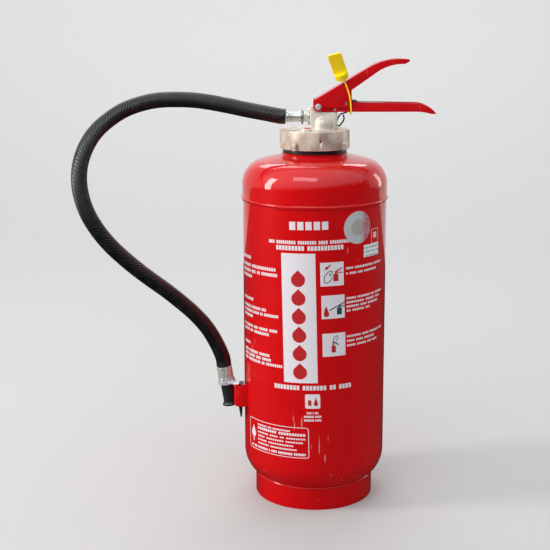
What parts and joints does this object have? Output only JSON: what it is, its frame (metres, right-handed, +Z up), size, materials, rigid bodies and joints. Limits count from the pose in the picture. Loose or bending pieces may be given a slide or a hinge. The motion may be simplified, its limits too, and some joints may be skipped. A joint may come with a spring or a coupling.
{
  "type": "fire extinguisher",
  "caption": "Upright water extinguisher with a squeeze lever, a carry handle, a screw cap and a hose whose nozzle clips into a pocket.",
  "frame": {"origin": "on the cylinder's axis, in the plane of the foot ring's lower edge", "axes": "+Z up along the cylinder, +X towards the carry handle's tip, +Y to the back, away from the printed front"},
  "size_m": [0.4269, 0.1792, 0.5517],
  "materials": {
    "body_paint": "gloss",
    "lever_paint": "gloss",
    "cast_cap": "cast, matt",
    "cast_head": "cast, matt",
    "zinc": "zinc plated",
    "dark_zinc": "dull",
    "steel": "satin",
    "spring_steel": "satin",
    "brass": "turned",
    "hose_rubber": "wrapped, satin",
    "seal_rubber": "matt",
    "gasket_fibre": "matt",
    "black_plastic": "satin",
    "yellow_plastic": "satin",
    "red_plastic": "gloss",
    "white_plastic": "satin",
    "black_wire": "satin",
    "silver_film": "foil",
    "paper": "matt"
  },
  "bodies": {
    "root": {"lower_shell": "body_paint", "top_dome": "body_paint", "seam_weld": "body_paint", "neck_ring": "body_paint", "foot_ring": "body_paint", "nozzle_pocket": "body_paint", "neck_seal_ring": "seal_rubber", "cap_gasket": "gasket_fibre", "screw_cap": "cast_cap", "snifter_valve": "brass", "snifter_seal": "red_plastic", "valve_head": "cast_head", "outlet_nut": "zinc", "swivel_nut": "cast_head", "collar_plate": "dark_zinc", "hose_tail": "zinc", "hose": "hose_rubber", "carry_handle": "lever_paint", "handle_rivet": "steel", "pivot_rivet": "steel", "stop_pad": "black_plastic", "gland_nut": "brass", "plunger_seal": "seal_rubber", "plunger_spring": "spring_steel", "gas_cartridge": "steel", "cartridge_washer": "gasket_fibre", "cartridge_cage": "zinc", "siphon_tube": "white_plastic", "strainer": "white_plastic", "inspection_sticker": "silver_film", "batch_label": "paper"},
    "lever": {"squeeze_lever": "lever_paint", "seal_tag": "yellow_plastic", "seal_strap": "yellow_plastic"},
    "plunger": {"plunger": "steel"},
    "pin": {"safety_pin": "steel", "pull_loop": "black_wire"},
    "nozzle": {"end_ferrule": "zinc", "clip_plate": "zinc", "clip_tongue": "black_plastic", "nozzle": "black_plastic"}
  },
  "joints": [
    {"name": "lever_squeeze", "type": "hinge", "parent": "root", "child": "lever", "pos_m": [0.0038, 0, 0.4873], "axis": [0, 1, 0], "range_deg": [0, 20], "stiffness_Nm_per_rad": 0.8, "springref_deg": -11.46},
    {"name": "plunger_press", "type": "slide", "parent": "root", "child": "plunger", "axis": [0, 0, -1], "range_m": [0, 0.0044], "deforming": ["plunger_spring"]},
    {"name": "pin_pull", "type": "slide", "parent": "root", "child": "pin", "axis": [0, 1, 0], "range_m": [0, 0.05]},
    {"name": "nozzle_lift", "type": "slide", "parent": "root", "child": "nozzle", "axis": [-0.1521, 0, 0.9884], "range_m": [0, 0.05], "deforming": ["hose"]}
  ],
  "couplings": [
    {"joint": "plunger_press", "follows": "lever_squeeze", "m_per_rad": 0.012532}
  ]
}
